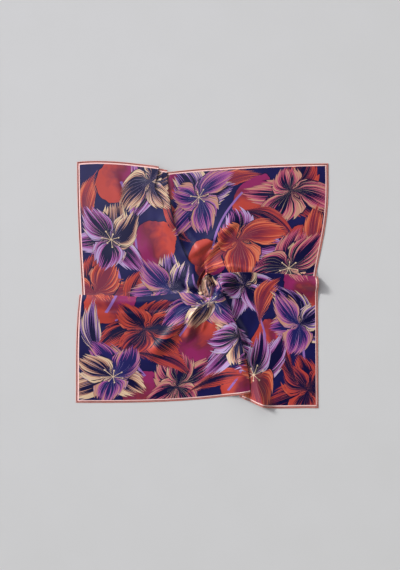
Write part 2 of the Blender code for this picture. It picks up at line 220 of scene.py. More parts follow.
# Round folds like rolls, which meet in the knot, and two more, which lift the left band and the
# right hem: each runs out from one point to another and bows to its left. Its height, its half
# width on its left and the one on its right are given at both ends. Where rolls meet, a higher
# ROLL_BLEND blends them less. A ROLL_ROUND of 0.5 makes the section a half ellipse.
Roll = namedtuple("Roll", "start end bow height_1 height_2 left_1 left_2 right_1 right_2")
ROLLS = [
    Roll((-0.03, 0.004), (-0.06, 0.13), -0.005, 0.023, 0.006, 0.026, 0.05, 0.022, 0.056),  # north west
    Roll((0.004, 0.024), (0.024, -0.034), 0.007, 0.025, 0.025, 0.01, 0.012, 0.01, 0.01),  # knot
    Roll((0.016, 0.053), (0.16, 0.058), 0.004, 0.024, 0.006, 0.006, 0.01, 0.038, 0.05),  # north east
    Roll((0.058, -0.02), (0.104, 0.064), 0, 0.021, 0.008, 0.02, 0.02, 0.026, 0.04),  # east
    Roll((0.052, -0.044), (0.128, -0.165), 0.004, 0.0222, 0.012, 0.014, 0.026, 0.022, 0.032),  # south east
    Roll((0.046, -0.048), (-0.08, -0.16), -0.006, 0.0222, 0.006, 0.014, 0.05, 0.022, 0.05),  # south west
    Roll((-0.35, -0.058), (-0.085, -0.056), 0, 0.003, 0.009, 0.022, 0.024, 0.022, 0.025),  # left band
    Roll((0.305, 0.01), (0.4, 0.004), 0, 0.002, 0.022, 0.01, 0.016, 0.018, 0.026),  # right hem
    Roll((0, -0.046), (-0.2, -0.056), 0.002, 0.02, 0.003, 0.016, 0.03, 0.01, 0.02),  # west
]
ROLL_BLEND = 8
ROLL_ROUND = 0.6

# How much the ridges and the dome sink where the rolls meet, and how far from the centre.
KNOT_SINK = 0.62
SINK_RADIUS = 0.075

# The knot's spiral ribs: how many, their height, how far out they stand highest, and how far they
# turn, in radians, over the reach of the twist.
RIBS = 9
RIB_HEIGHT = 0.0030
RIB_RADIUS = 0.028
RIB_LEAN = 1.5

# Slow waves over the cloth, but not in its rim, which lies down: the way that each runs, in
# degrees, its length, its height and where it starts. Each is bent by a share of its length.
Wave = namedtuple("Wave", "way length height start")
WAVES = [
    Wave(20, 0.190, 0.0006, 0.3),
    Wave(75, 0.150, 0.0006, 1.9),
    Wave(128, 0.110, 0.0004, 4.0),
    Wave(160, 0.085, 0.0003, 2.7),
]
WAVE_RIM = 0.10
WAVE_BEND = 0.25

# The knot is a dome over the twist. Where it meets the ridges, a higher BLEND blends them less.
KNOT_HEIGHT = 0.018
KNOT_RADIUS = 0.045
BLEND = 3

# The swirl turns each ring about the centre, and its reach is a share of the cut square. The twist
# turns what lies near the centre once more, and its reach is a radius.
SWIRL_ANGLE = np.radians(44)
SWIRL_REACH = 0.36
TWIST_ANGLE = np.radians(30)
TWIST_REACH = 0.050

# The studio, in metres, watts and radians: a far key light low in the west-north-west, a box high
# in the north-west for the sheen, and light from all round. That light is strong low down, but weak
# near the horizon, below LOW_HEIGHT, and fades out at DARK_HEIGHT, each the sine of an elevation.
# It is stronger on the key's side than on the far side. The floor reaches far past the scarf, and
# the camera looks down on the view's centre, with the view's height along the frame's long side.
KEY_WAY = np.array([-0.862, 0.507])
KEY_ELEVATION = np.radians(26)
KEY_DISTANCE = 12.0
KEY_STRENGTH = 2.85
KEY_ANGLE = np.radians(14)
SHEEN_BOX_PLACE = (-0.85, 0.8, 2.7)
SHEEN_BOX_SIZE = 1.7
SHEEN_BOX_POWER = 13.0
SHEEN_BOX_COLOUR = "eceaff"
HORIZON_LIGHT = 1.90
DARK_HEIGHT = 0.86
LOW_HEIGHT = 0.35
LOW_SHARE = 0.15
FAR_SIDE = 0.20
NEAR_SIDE = 1.80
FLOOR_REACH = 6.0
VIEW_CENTRE = (-0.0074, -0.0011)
VIEW_HEIGHT = 1.938
CAMERA_HEIGHT = 2.6


def smooth(x):
    """0 below 0, 1 above 1, and an even S between them."""
    x = np.clip(x, 0, 1)
    return x * x * (3 - 2 * x)


def grown(rings, first):
    """How far a pleat has grown on each ring: 0 up to its first, nearly 1 at the hem."""
    return 1 - np.exp(-((np.maximum(rings - first, 0) / RING_TAPER) ** 2))


def ring_size(rings):
    """Size of a ring against the laid outline: the cut square, less what the pleats take there."""
    inside = 0.5 * SIDE * rings - 0.5 * PLEAT_TAKES * grown(rings, FIRST_RING)
    outside = 0.5 * SIDE - 0.5 * PLEAT_TAKES * grown(np.ones(1), FIRST_RING)
    return inside / outside


def curve(row, shares):
    """Points of a hem row's cubic curve at each share of its way."""
    share = shares[..., None]
    rest = 1 - share
    ends = rest**3 * np.array(row.start) + share**3 * np.array(row.end)
    bends = rest * np.array(row.bend_1) + share * np.array(row.bend_2)
    return ends + 3 * rest * share * bends


def pleat_section(width, rings, pleat):
    """Section of a pleat on each ring: q along the side, z above its lower layer, and its hold.

    The upper layer turns down through an angle, runs straight for the middle length, and turns
    the same angle back. The hold is how far the layers lie on each other.
    The pleat rises from its first ring on, and is flat inside it. At the hem it is pressed down.
    """
    half_turns = 2 * np.pi * pleat.radius
    takes = (2 * width + half_turns) * grown(rings, pleat.first_ring)
    angles = np.linspace(LEAST_TURN, np.pi, ANGLE_SAMPLES)
    angle = np.interp(takes, 2 * pleat.radius * (angles - np.sin(angles)), angles)[:, None]
    middle = np.maximum(takes - half_turns, 2 * LEAST_MIDDLE)[:, None] / 2
    share = np.linspace(0, 1, TURN_STEPS + 1)
    q_down = pleat.radius * np.sin(angle * share)
    z_down = pleat.radius * (np.cos(angle * share) - 1)
    q_back = q_down[:, -1:] + middle * np.cos(angle) + pleat.radius * np.sin(angle)
    z_back = z_down[:, -1:] - middle * np.sin(angle) + pleat.radius * np.cos(angle)
    q = np.hstack([q_down, q_back - pleat.radius * np.sin(angle * (1 - share))])
    z = np.hstack([z_down, z_back - pleat.radius * np.cos(angle * (1 - share))])
    q = q - q[:, -1:] / 2
    pressed = 1 - HEM_PRESS * smooth(1 - (1 - rings) / PRESS_REACH)
    z = (z - z[:, -1:]) * (pressed * smooth((rings - pleat.first_ring) / RISE))[:, None]
    hold = middle + 2 * pleat.radius + LAYER_MARGIN
    return (q, z, hold) if pleat.upper == "before" else (-q[:, ::-1], z[:, ::-1], hold)


def pleat_points(pleat, rings):
    """Plan points of a pleat on each ring, their heights, and its hold."""
    end = np.array([row for row in HEMS if row.panel == pleat.before][-1].end)
    start = np.array([row for row in HEMS if row.panel == pleat.after][0].start)
    outward = np.array(OUTWARD[pleat.side])
    forward = np.array([outward[1], -outward[0]])
    q, z, hold = pleat_section((end - start) @ forward, rings, pleat)
    size = ring_size(rings)[:, None, None]
    bow_share = (rings**2 * (1 - rings))[:, None, None] / BOW_PEAK
    kink = np.exp(-(((rings - pleat.at) / KINK_WIDTH) ** 2))[:, None, None]
    moved = (1 - size) * pleat.shift + bow_share * pleat.bow + kink * pleat.kink
    middle = CENTRE + size * ((end + start) / 2 - CENTRE) + moved * forward
    slipped = smooth((rings[:, None] - SLIP_RING) / (1 - SLIP_RING)) * ((end - start) @ outward)
    across = np.repeat([0.5, -0.5], q.shape[1] // 2) * slipped
    return middle + q[..., None] * forward + across[..., None] * outward, z, hold


def row_points(row, shares, start, end, rings):
    """Points of a hem row on each ring, between its two ends there, bowed like the hem itself."""
    chord = np.array(row.start) + shares[..., None] * np.subtract(row.end, row.start)
    bow = ring_size(rings)[:, None, None] * (curve(row, shares) - chord)
    return start + shares[..., None] * (end - start) + bow


def row_shares(length, hold, raised):
    """Shares from a pleat to a corner: even ones, or crowded where a raised layer falls."""
    if not raised:
        return np.linspace(0, 1, PLAIN_STEPS + 1)[1:-1] * np.ones_like(length)
    fall_start = np.minimum(hold / length, FALL_LIMITS[0])
    near = np.minimum((hold + FALL * FALL_STEPS) / length, FALL_LIMITS)
    far = near[:, -1:] + (1 - near[:, -1:]) * np.linspace(0, 1, FAR_STEPS + 1)[1:-1]
    return np.hstack([fall_start * HOLD_STEPS, near, far])


def fall(distance, hold, room):
    """How raised a layer is at this distance from its pleat: 1 over the hold, then down to 0."""
    reach = np.minimum(FALL, FALL_SHARE * (room - hold))
    return 1 - smooth((distance - hold) / reach)


def panel_points(name, start_fold, end_fold, rings):
    """Plan points and heights of a panel between two pleats, through its corner if it has one."""
    rows = [row for row in HEMS if row.panel == name]
    start, start_z, start_hold = start_fold
    end, end_z, end_hold = end_fold
    start_raised = start_z[:, -1:] > 0
    end_raised = end_z[:, :1] > 0
    if len(rows) == 1:
        shares = np.linspace(0, 1, STRIP_STEPS + 1)[1:-1] * np.ones((len(rings), 1))
        points = row_points(rows[0], shares, start[:, -1:], end[:, :1], rings)
        return points, end_z[:, :1] * np.ones_like(shares)
    corner = CENTRE + ring_size(rings)[:, None, None] * (np.array(rows[0].end) - CENTRE)
    length = np.linalg.norm(corner - start[:, -1:], axis=2)
    shares = row_shares(length, start_hold, start_raised.any())
    first = row_points(rows[0], shares, start[:, -1:], corner, rings)
    length = np.linalg.norm(corner - end[:, :1], axis=2)
    shares = 1 - row_shares(length, end_hold, end_raised.any())[:, ::-1]
    second = row_points(rows[1], shares, corner, end[:, :1], rings)
    points = np.concatenate([first, corner, second], axis=1)
    path = np.concatenate([start[:, -1:], points, end[:, :1]], axis=1)
    run = np.cumsum(np.linalg.norm(np.diff(path, axis=1), axis=2), axis=1)
    flat = 1 - start_raised * fall(run[:, :-1], start_hold, run[:, -1:])
    flat = flat * (1 - end_raised * fall(run[:, -1:] - run[:, :-1], end_hold, run[:, -1:]))
    return points, (1 - flat) * np.maximum(start_z[:, -1:], end_z[:, :1])


def laid_cloth(rings):
    """Middle surface of the pleated cloth before it is turned: rings by spokes, clockwise.

    The second pleat raises the strip, and the first pleat lies on that, so it is raised as much.
    """
    folds = [pleat_points(pleat, rings) for pleat in PLEATS]
    points, heights, hold = folds[0]
    folds[0] = (points, heights + folds[1][1][:, :1], hold)
    parts = []
    for index, pleat in enumerate(PLEATS):
        points, heights = panel_points(pleat.before, folds[index - 1], folds[index], rings)
        parts.append(np.dstack([points, heights]))
        parts.append(np.dstack([folds[index][0], folds[index][1]]))
    return np.concatenate(parts, axis=1)


def corner_spokes(edge):
    """Spokes that run to the four corners, clockwise from the top left one."""
    ends = [row.end for row, following in zip(HEMS, HEMS[1:]) if row.panel == following.panel]
    return [int(np.argmin(np.linalg.norm(edge[:, :2] - end, axis=1))) for end in ends]


def side_spokes(corners, count):
    """Spokes from corner to corner along each side, clockwise from the top."""
    for first, last in zip(corners, corners[1:] + corners[:1]):
        yield np.arange(first, last + 1 + count * (last < first)) % count


def flat_places(laid, rings):
    """Where each point lies on the cut square, in metres from its middle.

    Along a ring's side the place follows the length of the cloth from corner to corner, and the
    ring itself is the cut square shrunk towards the pinch.
    """
    half = SIDE / 2
    corners = np.array([(-half, half), (half, half), (half, -half), (-half, -half)])
    places = np.zeros(laid.shape[:2] + (2,))
    starts = corner_spokes(laid[-1])
    for side, spokes in enumerate(side_spokes(starts, laid.shape[1])):
        runs = np.linalg.norm(np.diff(laid[:, spokes], axis=1), axis=2)
        length = np.hstack([np.zeros((len(rings), 1)), np.cumsum(runs, axis=1)])
        share = (length / length[:, -1:])[..., None]
        on_edge = corners[side] + share * (corners[(side + 1) % 4] - corners[side])
        places[:, spokes] = PINCH + rings[:, None, None] * (on_edge - PINCH)
    return places


def turned(points, rings):
    """Points of the rings turned about the centre: most at the twist, not at all at the hem."""
    offset = points[..., :2] - CENTRE
    radius = np.linalg.norm(offset, axis=-1)
    rest = np.exp(-1 / SWIRL_REACH)
    swirl = SWIRL_ANGLE * (np.exp(-rings / SWIRL_REACH) - rest) / (1 - rest)
    angle = swirl[:, None] + TWIST_ANGLE * np.exp(-((radius / TWIST_REACH) ** 2))
    x = offset[..., 0] * np.cos(angle) - offset[..., 1] * np.sin(angle)
    y = offset[..., 0] * np.sin(angle) + offset[..., 1] * np.cos(angle)
    return np.stack([CENTRE[0] + x, CENTRE[1] + y, points[..., 2]], axis=-1)


def bump(distance, reach, power=2):
    """1 at no distance and 0 from the reach on.

    The share of the reach is raised to the power and taken from 1. What is left is raised to one
    and a half times the power, so it runs out level. The top is round for 2 and sharp for 1.
    """
    return np.maximum(1 - np.abs(distance / reach) ** power, 0) ** (1.5 * power)


def ridge_height(plan):
    """Height of the soft ridges, the knot's dome and the rolls at plan points: the larger of them.

    Where the rolls meet, the ridges and the dome sink under them.
    """
    from_centre = np.linalg.norm(plan - CENTRE, axis=-1)
    total = (KNOT_HEIGHT * bump(from_centre, 2 * KNOT_RADIUS)) ** BLEND
    for ridge in RIDGES:
        start = np.array(ridge.start)
        way = np.subtract(ridge.end, start)
        share = np.clip((plan - start) @ way / (way @ way), 0, 1)
        distance = np.linalg.norm(plan - start - share[..., None] * way, axis=-1)
        height = ridge.height_1 + (ridge.height_2 - ridge.height_1) * share
        total = total + (height * bump(distance, 2 * ridge.half_width)) ** BLEND
    sunk = 1 - KNOT_SINK * bump(from_centre, SINK_RADIUS)
    return roll_height(plan, sunk * total ** (1 / BLEND))


def along_line(plan, line):
    """Share of the way along a bowed line, the distance to its left, and the line's length."""
    way = np.subtract(line.end, line.start)
    length = np.linalg.norm(way)
    left = np.array([-way[1], way[0]]) / length
    offset = plan - np.array(line.start)
    share = offset @ way / length**2
    held = np.clip(share, 0, 1)
    return share, offset @ left - line.bow * 4 * held * (1 - held), length


def roll_height(plan, base):
    """Height of the rolls over the base at plan points: the larger of what meets there.

    Across a roll the height is nearly a half ellipse, and its ends are round too.
    """
    total = base**ROLL_BLEND
    for roll in ROLLS:
        share, aside, length = along_line(plan, roll)
        held = np.clip(share, 0, 1)
        left = roll.left_1 + (roll.left_2 - roll.left_1) * held
        right = roll.right_1 + (roll.right_2 - roll.right_1) * held
        width = np.where(aside > 0, left, right)
        beyond = (share - held) * length
        section = 1 - (aside / width) ** 2 - (beyond / np.minimum(left, right)) ** 2
        height = roll.height_1 + (roll.height_2 - roll.height_1) * held
        total = total + (height * np.maximum(section, 0) ** ROLL_ROUND) ** ROLL_BLEND
    return total ** (1 / ROLL_BLEND)


def crease_height(plan):
    """Height of the creases and the knot's spiral ribs at plan points.

    Across a crease the height is a bump, wider on one side. Along it, it rises and falls softly.
    """
    total = np.zeros(plan.shape[:-1])
    for crease in CREASES:
        share, aside, _ = along_line(plan, crease)
        profile = bump(aside, np.where(aside > 0, crease.left, crease.right), crease.power)
        ends = smooth(share / CREASE_ENDS) * smooth((1 - share) / CREASE_ENDS)
        total = total + crease.height * profile * ends
    offset = plan - CENTRE
    radius = np.linalg.norm(offset, axis=-1)
    angle = np.arctan2(offset[..., 1], offset[..., 0])
    spiral = np.cos(RIBS * angle + RIB_LEAN * RIBS * radius / TWIST_REACH)
    far = radius / RIB_RADIUS
    return total + RIB_HEIGHT * (0.5 + 0.5 * spiral) * far**2 * np.exp(1 - far**2)


def wave_height(plan):
    """Height of the slow waves at plan points: bent sine waves, each from 0 up to its height."""
    total = np.zeros(plan.shape[:-1])
    for wave in WAVES:
        way = np.array([np.cos(np.radians(wave.way)), np.sin(np.radians(wave.way))])
        across = plan @ np.array([-way[1], way[0]])
        bent = plan @ way + WAVE_BEND * wave.length * np.sin(across / wave.length + wave.start)
        crest = np.sin(2 * np.pi * bent / wave.length + wave.start)
        total = total + wave.height * (0.5 + 0.5 * crest)
    return total


def cloth_surface(rings):
    """Middle surface of the silk, resting on z = 0 with its middle over the origin, and its flat
    places."""
    laid = laid_cloth(rings)
    surface = turned(laid, rings)
    plan = surface[..., :2]
    loose = smooth((1 - rings) / WAVE_RIM)[:, None]
    relief = ridge_height(plan) + crease_height(plan) + loose * wave_height(plan)
    surface[..., 2] += SILK / 2 + np.maximum(relief, 0)
    surface[..., :2] -= (surface[-1, :, :2].max(axis=0) + surface[-1, :, :2].min(axis=0)) / 2
    return surface, flat_places(laid, rings)


def add_silk(surface, places, front, back):
    """The silk panel: its middle surface with a fan at the twist, thickened both ways."""
    rings, spokes = surface.shape[:2]
    vertices = np.vstack([surface.reshape(-1, 3), surface[0].mean(axis=0)])
    flat = np.vstack([places.reshape(-1, 2), PINCH])
    ring, spoke = np.meshgrid(np.arange(rings - 1), np.arange(spokes), indexing="ij")
    here = (ring * spokes + spoke).ravel()
    beside = (ring * spokes + (spoke + 1) % spokes).ravel()
    quads = np.column_stack([here, beside, beside + spokes, here + spokes])
    first = np.arange(spokes)
    fan = np.column_stack([np.full(spokes, rings * spokes), (first + 1) % spokes, first])
    mesh = bpy.data.meshes.new("silk_square")
    mesh.from_pydata(vertices.tolist(), [], quads.tolist() + fan.tolist())
    mesh.shade_smooth()
    cut = mesh.uv_layers.new(name="cut")
    corners = np.empty(len(mesh.loops), np.int32)
    mesh.loops.foreach_get("vertex_index", corners)
    cut.data.foreach_set("uv", (flat[corners] / SIDE + 0.5).ravel())
    silk = bpy.data.objects.new("silk_square", mesh)
    bpy.context.scene.collection.objects.link(silk)
    mesh.materials.append(front)
    mesh.materials.append(back)
    wall = silk.modifiers.new("Silk", "SOLIDIFY")
    wall.thickness = SILK
    wall.offset = 0.0
    wall.material_offset = 1
    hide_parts("silk_panel")
    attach(silk, "root")
    return silk


def edge_slope(edge, outward):
    """A line's offset square to its run, as a share of the same offset along the outward axis.

    It is the square root of 1 less the run's squared share along that axis, and where two runs
    meet, the less of theirs.
    """
    runs = np.diff(edge, axis=0)
    slope = np.sqrt(1 - (runs[:, :2] @ outward) ** 2 / (runs**2).sum(axis=1))
    return np.minimum(np.append(slope, slope[-1]), np.append(slope[0], slope))


def hem_path(edge, outward):
    """Centre line of a rolled hem along one side's edge, just outside it."""
    path = edge.copy()
    path[:, :2] += (HEM_OUTSIDE / edge_slope(edge, outward))[:, None] * outward
    path[:, 2] += (HEM_FLATNESS * HEM_ROLL - SILK) / 2
    return path


def evenly(path, step):
    """Points along a path, at even steps near the given one, and how far along it each lies."""
    runs = np.linalg.norm(np.diff(path, axis=0), axis=1)
    way = np.append(0, np.cumsum(runs))
    along = np.linspace(0, way[-1], int(way[-1] / step) + 1)
    return np.column_stack([np.interp(along, way, path[:, axis]) for axis in range(3)]), along


def tube(path, side_axis, radii, sides, flatness=1):
    """Rings of points round a path: each is a circle across its direction, or a flatter ellipse."""
    forward = np.gradient(path, axis=-2)
    forward = forward / np.linalg.norm(forward, axis=-1, keepdims=True)
    side = side_axis - (forward * side_axis).sum(axis=-1, keepdims=True) * forward
    side = side / np.linalg.norm(side, axis=-1, keepdims=True)
    up = np.cross(side, forward)
    angle = np.arange(sides) / sides * 2 * np.pi
    round_side = np.cos(angle)[:, None] * side[..., None, :]
    round_up = flatness * np.sin(angle)[:, None] * up[..., None, :]
    return path[..., None, :] + radii[..., None, None] * (round_side + round_up)


def tube_faces(steps, sides):
    """Faces of one tube, with a flat cap at each end."""
    step, side = np.meshgrid(np.arange(steps - 1), np.arange(sides), indexing="ij")
    here = (step * sides + side).ravel()
    beside = (step * sides + (side + 1) % sides).ravel()
    walls = np.column_stack([here, beside, beside + sides, here + sides]).tolist()
    last = (steps - 1) * sides
    return walls + [list(range(sides))[::-1], list(range(last, last + sides))]


def add_mesh(name, vertices, faces, material, replaced=()):
    """A mesh object that rides on the scarf, in the hems' finish, in place of these CAD nodes."""
    mesh = bpy.data.meshes.new(name)
    mesh.from_pydata(vertices.reshape(-1, 3).tolist(), [], faces)
    mesh.shade_smooth()
    mesh.materials.append(material)
    piece = bpy.data.objects.new(name, mesh)
    bpy.context.scene.collection.objects.link(piece)
    for node in replaced:
        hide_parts(node)
    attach(piece, "root")
    return piece


def add_hem(name, path, outward, material):
    """One rolled hem: a tube whose radius sinks in slow waves and a little at each stitch."""
    path, along = evenly(path, HEM_STEP)
    slow = np.sin(along / HEM_WAVES[0] + path[:, 0] * HEM_SHIFTS[0])
    slow = slow * np.sin(along / HEM_WAVES[1] + HEM_SHIFTS[1])
    pucker = np.cos(2 * np.pi * along / STITCH_SPACING)
    radii = HEM_ROLL / 2 * (1 - HEM_UNEVEN * (0.5 + 0.5 * slow) - HEM_PUCKER * (0.5 + 0.5 * pucker))
    radii[[0, -1]] *= HEM_END
    side_axis = np.append(outward, 0)
    rings = tube(path, side_axis, radii, HEM_SIDES, HEM_FLATNESS)
    rings[..., 2] = np.maximum(rings[..., 2], 0)
    faces = tube_faces(len(path), HEM_SIDES)
    return add_mesh("rolled_" + name, rings, faces, material, [name])


def stitch_tubes(path, outward):
    """The stitches of one hem: arcs that lean over the roll's inner shoulder into the silk."""
    path, along = evenly(path, STITCH_SPACING)
    forward = np.gradient(path, axis=0)
    forward = (forward / np.linalg.norm(forward, axis=1, keepdims=True))[:, None, :]
    inward = -np.append(outward, 0)
    up = np.cross(forward, inward)
    up = up * np.sign(up[..., 2:] + 1e-9)
    angle = np.linspace(STITCH_START, STITCH_END, STITCH_STEPS)[:, None]
    reach = HEM_ROLL / 2 * STITCH_LIFT
    lean = np.linspace(-0.5, 0.5, STITCH_STEPS)[:, None] * STITCH_LEAN
    arcs = path[:, None, :] + reach * (np.sin(angle) * inward + np.cos(angle) * up) + lean * forward
    radii = np.full(arcs.shape[:2], STITCH_THREAD / 2)
    return tube(arcs, STITCH_SIDE, radii, STITCH_SIDES)


def add_stitches(paths, material):
    """All the hems' stitches, in one mesh."""
    stitches = np.concatenate([stitch_tubes(path, outward) for path, outward in paths])
    one = tube_faces(STITCH_STEPS, STITCH_SIDES)
    starts = np.arange(len(stitches)) * STITCH_STEPS * STITCH_SIDES
    faces = [[corner + start for corner in face] for start in starts.tolist() for face in one]
    return add_mesh("hem_stitches", stitches, faces, material)


# The print's colours, as sRGB hex values.
NAVY = "1f1e5c"
DEEP_NAVY = "0b0836"
CORAL = "bb443a"
LIGHT_CORAL = "dc7656"
MAGENTA = "92265f"
ROSE = "c05272"
LILAC = "9168b0"
PALE_LILAC = "b8a0cc"
MAUVE = "a8549c"
CREAM = "dfc3a0"
TAN = "c48f7a"
WINE = "7c2a40"
PINK_STRIPE = "fbcec9"
HEM = "d67966"
# The hem's darker dye, which the print also uses for a painted shadow line beside the roll.
HEM_DARK_DYE_AND_SHADOW = "b35e56"
THREAD = "e0988c"
PAPER = "d6d6d6"
PAPER_SHADE = "d2d2d1"

# Colourings of a petal: its middle, from the base, then its blade, its rim and its drawn lines.
# Some petals of a bloom take its own row, and the others the next row's.
Colouring = namedtuple("Colouring", "middle blade rim line")
COLOURINGS = [
    Colouring(DEEP_NAVY, LILAC, CREAM, PALE_LILAC),
    Colouring(NAVY, MAUVE, TAN, PALE_LILAC),
    Colouring(DEEP_NAVY, TAN, CREAM, PALE_LILAC),
    Colouring(DEEP_NAVY, MAUVE, PALE_LILAC, CREAM),
    Colouring(WINE, CORAL, LIGHT_CORAL, TAN),
    Colouring(DEEP_NAVY, CORAL, CORAL, LIGHT_CORAL),
    Colouring(DEEP_NAVY, WINE, CORAL, LIGHT_CORAL),
    Colouring(DEEP_NAVY, ROSE, TAN, CREAM),
]

# Blooms in three layers, from the lowest: the middle on the cut square and the two radii in
# millimetres, the turn in degrees, and the colouring's row.
Bloom = namedtuple("Bloom", "x y radius_1 radius_2 turn colouring")
BACK_BLOOMS = [
    Bloom(190, -70, 150, 130, 65, 2),
    Bloom(345, 345, 180, 150, 10, 6),
    Bloom(-410, 10, 170, 140, 50, 4),
    Bloom(-120, -400, 170, 140, 80, 7),
    Bloom(410, -400, 165, 140, 25, 5),
]
MIDDLE_BLOOMS = [
    Bloom(-150, 50, 165, 140, 15, 0),
    Bloom(190, 160, 175, 145, 40, 3),
    Bloom(-195, 400, 165, 140, 70, 2),
    Bloom(-245, -175, 170, 140, 5, 5),
    Bloom(70, -250, 170, 140, 55, 2),
    Bloom(385, -180, 165, 140, 30, 0),
]
FRONT_BLOOMS = [
    Bloom(-335, 205, 175, 145, 20, 2),
    Bloom(20, 350, 170, 140, 60, 0),
    Bloom(350, 80, 175, 145, 45, 7),
    Bloom(-40, -90, 175, 145, 0, 1),
    Bloom(-345, -350, 175, 145, 35, 1),
    Bloom(215, -355, 175, 145, 75, 3),
]

# Single leaves: the middle, half the length, half the width, turn and colouring.
Leaf = namedtuple("Leaf", "x y radius_1 radius_2 turn colouring")
LEAVES = [
    Leaf(-80, 290, 105, 34, 120, 5),
    Leaf(130, 400, 95, 30, 20, 4),
    Leaf(-270, 30, 100, 32, 70, 4),
    Leaf(270, 240, 100, 34, -30, 5),
    Leaf(60, 50, 95, 32, 35, 4),
    Leaf(-400, -200, 100, 32, 100, 0),
    Leaf(-180, -290, 105, 34, -25, 5),
    Leaf(260, -110, 95, 32, 60, 3),
    Leaf(320, -290, 95, 30, 110, 4),
    Leaf(20, -390, 95, 30, 10, 5),
    Leaf(-410, 330, 90, 30, 80, 3),
    Leaf(420, 220, 90, 30, 95, 4),
]

# Round buds: the middle, two radii and turn.
Bud = namedtuple("Bud", "x y radius_1 radius_2 turn")
BUDS = [
    Bud(-300, 400, 90, 70, 20),
    Bud(-60, 420, 85, 66, 150),
    Bud(215, 330, 95, 74, 70),
    Bud(-170, 200, 95, 74, 200),
    Bud(60, 110, 90, 72, 300),
    Bud(410, -60, 95, 72, 120),
    Bud(-350, -90, 95, 74, 40),
    Bud(-80, -240, 105, 80, 250),
    Bud(280, -250, 90, 72, 10),
    Bud(-230, -420, 95, 72, 100),
    Bud(120, -430, 90, 70, 330),
    Bud(400, 170, 85, 68, 240),
]

# Stems: the middle, half the length, the turn, and how far the middle bows out. All are as wide.
Stem = namedtuple("Stem", "x y half_length turn bow")
STEMS = [
    Stem(-250, 290, 110, 15, 20),
    Stem(110, 250, 120, -20, -24),
    Stem(300, 180, 120, 5, 18),
    Stem(-320, -20, 120, -10, 22),
    Stem(10, -20, 110, 30, -20),
    Stem(230, -200, 120, 12, 22),
    Stem(-130, -180, 110, -30, 18),
    Stem(-300, -260, 110, 25, -18),
    Stem(100, -340, 100, -15, 16),
    Stem(400, -300, 100, 8, -14),
]
STEM_WIDTH = 9.0

# A bud's colours, each at its place on a scale. Where a point is on it: how far that moves from the
# bud's middle to its side, the middle's place, and a mottle, with how often it repeats in a
# millimetre and how far it moves the place. How the brush strokes are stretched, and the range of
# their noise with the range of shades that it becomes. How ragged the edge is, and the bud's radius
# and its dark rim's.
BUD_PLACES = (0.36, 0.52, 0.70)
BUD_COLOURS = (CORAL, WINE, MAGENTA)
BUD_ACROSS = (0.36, 0.16)
BUD_MOTTLE = 0.012
BUD_MOTTLED = 0.75
BUD_STROKES = (1.1, 9.0, 1.0)
BUD_SHADES = (0.3, 0.7, 0.72, 1.22)
BUD_RAGGED = 0.5
BUD_RADIUS = 1.22
BUD_RIM = 1.25

# The border's pale stripe, and then a painted shadow line beside the rolled hem, in the hem's
# darker colour, start so many millimetres inside the edge.
STRIPE_START = 6.0
STRIPE_END = 2.0

# The silk's twill: ribs 0.3 mm apart are too fine to show, so they are drawn 2 mm apart, which a
# close view shows. Its sheen is soft. On its back the dye is paler by a share of the bare silk.
TWILL_SCALE = 0.22
TWILL_SWAY = 0.6
TWILL_STRENGTH = 0.25
TWILL_DEPTH = 0.00004
SILK_ROUGHNESS = 0.35
SILK_SPECULAR = 0.4
BACK_PALER = 0.30
BACK_GROUND = "a99ab0"

# The hem's silk and its thread: mottled over 2.5 mm and 0.5 mm, the noise over which the dye gets
# darker, and a soft grain in relief.
HEM_MOTTLE = 400.0
THREAD_MOTTLE = 2000.0
HEM_DYE = (0.35, 0.65)
GRAIN_STRENGTH = 0.4
GRAIN_DEPTH = 0.0002
HEM_ROUGHNESS = 0.55
HEM_SPECULAR = 0.5

# The floor's paper: how often its mottle repeats in a metre, and its matt finish.
PAPER_MOTTLE = 6.0
PAPER_ROUGHNESS = 0.95
PAPER_SPECULAR = 0.1

# A petal's half width against its fullest, by the share of its length, from its two ends to what
# lies between, and the same for the fan of strokes that it is painted with, which its tip cuts off.
# The strokes sway along their way.
PETAL_WIDTH = [(0.0, 0.05), (1.0, 0.0), (0.14, 0.24), (0.36, 0.76), (0.58, 1.0), (0.82, 0.62)]
STROKE_WIDTH = [(0.0, 0.05), (1.0, 0.62), (0.14, 0.24), (0.36, 0.76), (0.58, 1.0), (0.82, 0.86)]
STROKE_SWAYS = 5.0
STROKE_SWAY = 0.35

# The flames in which a petal's colours meet: the strokes in its half width, and a sum, past 0 of
# which the next colour comes. The sum has a start, and the petal's chance, the way along, the way
# out and the stroke's own chance add to it, each by so much. Each flame ends in a soft point.
Flames = namedtuple("Flames", "count start petal_chance along out stroke_chance")
BLADE_FLAMES = Flames(10, -1.05, 0.35, 0.95, 0.62, 0.55)
RIM_FLAMES = Flames(9, -1.40, 0.25, 0.85, 0.85, 0.70)
FLAME_POINT = -0.9
FLAME_SOFTNESS = 0.06

# A petal takes the next colouring's row above this chance. Its fine strokes: how many in its half
# width, the range and the least of their shades, and how much darker a stroke's sides are.
NEXT_ROW = 0.55
FINE_STROKES = 12
FINE_SHADES = (0.34, 0.77)
FINE_SIDES = -0.20

# Its thin pale lines: how many in its half width, the place from a stroke's middle to its side
# where one is drawn, the range and the least of their reach, and their strength.
LINES = 5
LINE_PLACE = (0.41, 0.46)
LINE_REACH = (1.5, -0.55)
LINE_STRENGTH = 0.50

# Its ragged tip: how far its strokes differ, how pointed they are, and how far they go past it.
# The drawn stretches of its outline: where they lie, how often they come, how much they lean and
# how much is left out. A dark rim lies round it.
RAGGED = 0.14
RAGGED_POINT = 0.26
RAGGED_PAST = 0.10
OUTLINE_PLACE = (0.91, 0.95)
OUTLINE_STRETCHES = 9.0
OUTLINE_LEAN = 0.5
OUTLINE_LEAST = 0.4
DARK_RIM = 1.05

